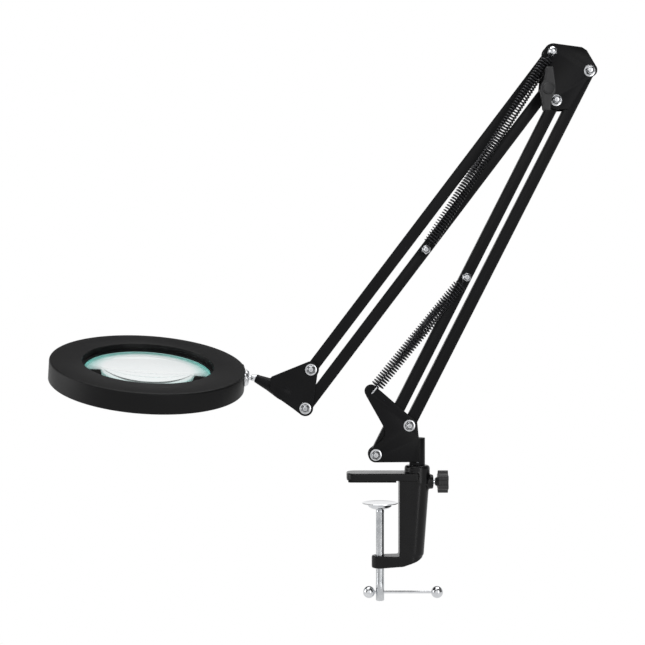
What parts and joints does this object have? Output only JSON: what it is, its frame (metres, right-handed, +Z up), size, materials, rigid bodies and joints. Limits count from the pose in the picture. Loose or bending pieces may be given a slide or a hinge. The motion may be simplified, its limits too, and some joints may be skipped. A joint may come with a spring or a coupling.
{
  "type": "clamp-on magnifying lamp",
  "caption": "Magnifying lamp with a table clamp, a swivel post, two sprung parallelogram arms and a round lens head on a ball joint.",
  "frame": {"origin": "on the clamp screw's axis, at the clamping face of the upper jaw, which is the table top's plane", "axes": "+Z up, +X from the clamp's throat towards its column, -Y the front; the arms lie in the XZ plane"},
  "size_m": [0.5299, 0.1875, 0.5391],
  "materials": {
    "black_enamel": "satin black powder coat",
    "clamp_enamel": "satin black powder coat",
    "black_rubber": "matt",
    "chrome": "polished",
    "zinc": "bright zinc plate",
    "knob_plastic": "satin moulded",
    "housing_plastic": "fine texture",
    "black_spring": "black oxide",
    "lens_glass": "polished",
    "milky_plastic": "satin opal",
    "board": "white solder mask",
    "led": "phosphor",
    "brass": "turned",
    "post_steel": "turned"
  },
  "bodies": {
    "clamp": {"clamp_body": "clamp_enamel", "jaw_pad": "black_rubber"},
    "pad": {"pressure_pad": "chrome"},
    "screw": {"clamp_screw": "zinc"},
    "tommy": {"tommy_bar": "chrome", "tommy_balls": "chrome"},
    "lock": {"lock_screw": "zinc", "lock_knob": "knob_plastic"},
    "base": {"base_bracket": "black_enamel", "base_sleeve": "black_enamel", "base_post": "post_steel", "base_bolts": "zinc", "base_nuts": "zinc", "base_washers": "zinc"},
    "lower_outer": {"lower_outer_bar": "black_enamel", "lower_outer_bushes": "zinc"},
    "lower_inner": {"lower_inner_bar": "black_enamel", "lower_inner_bushes": "zinc", "lower_spring_bolt": "zinc", "lower_spring_spacers": "zinc", "lower_spring_nut": "zinc", "lower_spring_eyes": "black_spring"},
    "lower_spring": {"lower_spring_front": "black_spring", "lower_spring_back": "black_spring", "lower_spring_hooks": "zinc"},
    "lower_spring_end": {"lower_spring_tails": "black_spring"},
    "elbow": {"elbow_bracket": "black_enamel", "elbow_bolts": "zinc", "elbow_nuts": "zinc", "elbow_washers": "zinc", "elbow_cap_nut": "chrome", "wing_bolt": "zinc"},
    "wing": {"wing_knob": "knob_plastic", "wing_insert": "brass"},
    "upper_top": {"upper_top_bar": "black_enamel", "upper_top_bushes": "zinc"},
    "upper_bottom": {"upper_bottom_bar": "black_enamel", "upper_bottom_bushes": "zinc", "upper_spring_bolt": "zinc", "upper_spring_spacers": "zinc", "upper_spring_nut": "zinc", "upper_spring_low_eyes": "black_spring"},
    "upper_spring": {"upper_spring_front": "black_spring", "upper_spring_back": "black_spring", "upper_spring_top_eyes": "black_spring"},
    "upper_spring_end": {"upper_spring_tails": "black_spring"},
    "head_bracket": {"head_bracket": "black_enamel", "bracket_bolts": "zinc", "bracket_nuts": "zinc", "bracket_washers": "zinc"},
    "stem": {"ball_stem": "chrome"},
    "head": {"ball_cup": "chrome", "head_housing": "housing_plastic", "lens": "lens_glass", "lens_ring": "milky_plastic", "led_board": "board", "leds": "led", "diffuser": "milky_plastic", "head_screws": "zinc", "cord_gland": "black_rubber"}
  },
  "joints": [
    {"name": "pad_travel", "type": "slide", "parent": "clamp", "child": "pad", "axis": [0, 0, 1], "range_m": [-0.04, 0.017]},
    {"name": "screw_turn", "type": "hinge", "parent": "pad", "child": "screw", "pos_m": [0, 0, -0.06], "axis": [0, 0, 1], "range_deg": [-11500, 4850]},
    {"name": "tommy_slide", "type": "slide", "parent": "screw", "child": "tommy", "axis": [1, 0, 0], "range_m": [-0.045, 0]},
    {"name": "lock_turn", "type": "hinge", "parent": "clamp", "child": "lock", "pos_m": [0.06, 0, -0.0006], "axis": [1, 0, 0], "range_deg": [-180, 0]},
    {"name": "base_swivel", "type": "hinge", "parent": "clamp", "child": "base", "pos_m": [0.036, 0, 0.02], "axis": [0, 0, 1], "continuous": true},
    {"name": "lower_arm", "type": "hinge", "parent": "base", "child": "lower_outer", "pos_m": [0.028, 0, 0.0543], "axis": [0, 1, 0], "range_deg": [-50, 2]},
    {"name": "lower_link", "type": "hinge", "parent": "base", "child": "lower_inner", "pos_m": [-0.00435, 0, 0.02598], "axis": [0, 1, 0], "range_deg": [-51, 3]},
    {"name": "elbow_level", "type": "hinge", "parent": "lower_outer", "child": "elbow", "pos_m": [0.20184, 0, 0.39636], "axis": [0, 1, 0], "range_deg": [-3, 51]},
    {"name": "lower_spring_turn", "type": "hinge", "parent": "base", "child": "lower_spring", "pos_m": [-0.00825, 0, 0.08558], "axis": [0, 1, 0], "range_deg": [-70.5, 3.8], "deforming": ["lower_spring_front", "lower_spring_back"]},
    {"name": "lower_spring_stretch", "type": "slide", "parent": "lower_spring", "child": "lower_spring_end", "axis": [0.6318, 0, 0.7752], "range_m": [-0.02, 0.005], "deforming": ["lower_spring_tails"]},
    {"name": "wing_turn", "type": "hinge", "parent": "elbow", "child": "wing", "pos_m": [0.15908, -0.02, 0.37636], "axis": [0, 1, 0], "range_deg": [0, 180]},
    {"name": "upper_arm", "type": "hinge", "parent": "elbow", "child": "upper_bottom", "pos_m": [0.15908, 0, 0.37636], "axis": [0, 1, 0], "range_deg": [-2, 60]},
    {"name": "upper_link", "type": "hinge", "parent": "elbow", "child": "upper_top", "pos_m": [0.16454, 0, 0.41376], "axis": [0, 1, 0], "range_deg": [-3, 61]},
    {"name": "head_level", "type": "hinge", "parent": "upper_bottom", "child": "head_bracket", "pos_m": [-0.07239, 0, 0.07085], "axis": [0, 1, 0], "range_deg": [-61, 3]},
    {"name": "upper_spring_turn", "type": "hinge", "parent": "elbow", "child": "upper_spring", "pos_m": [0.16454, 0, 0.41376], "axis": [0, 1, 0], "range_deg": [-2.8, 54], "deforming": ["upper_spring_front", "upper_spring_back"]},
    {"name": "upper_spring_stretch", "type": "slide", "parent": "upper_spring", "child": "upper_spring_end", "axis": [-0.5375, 0, -0.8433], "range_m": [-0.035, 0.005], "deforming": ["upper_spring_tails"]},
    {"name": "head_turn", "type": "hinge", "parent": "head_bracket", "child": "stem", "pos_m": [-0.115, 0, 0.1], "axis": [1, 0, 0], "range_deg": [-105, 75]},
    {"name": "head_tilt", "type": "hinge", "parent": "stem", "child": "head", "pos_m": [-0.1312, 0, 0.1], "axis": [0, 1, 0], "range_deg": [-24, 12]}
  ],
  "couplings": [
    {"joint": "pad_travel", "follows": "screw_turn", "m_per_rad": 0.00019894},
    {"joint": "lower_link", "follows": "lower_arm", "ratio": 1},
    {"joint": "elbow_level", "follows": "lower_arm", "ratio": -1},
    {"joint": "lower_spring_turn", "follows": "lower_arm", "ratio": 1.391},
    {"joint": "lower_spring_stretch", "follows": "lower_arm", "m_per_rad": 0.0138},
    {"joint": "upper_link", "follows": "upper_arm", "ratio": 1},
    {"joint": "head_level", "follows": "upper_arm", "ratio": -1},
    {"joint": "upper_spring_turn", "follows": "upper_arm", "ratio": 0.884},
    {"joint": "upper_spring_stretch", "follows": "upper_arm", "m_per_rad": -0.0291}
  ]
}
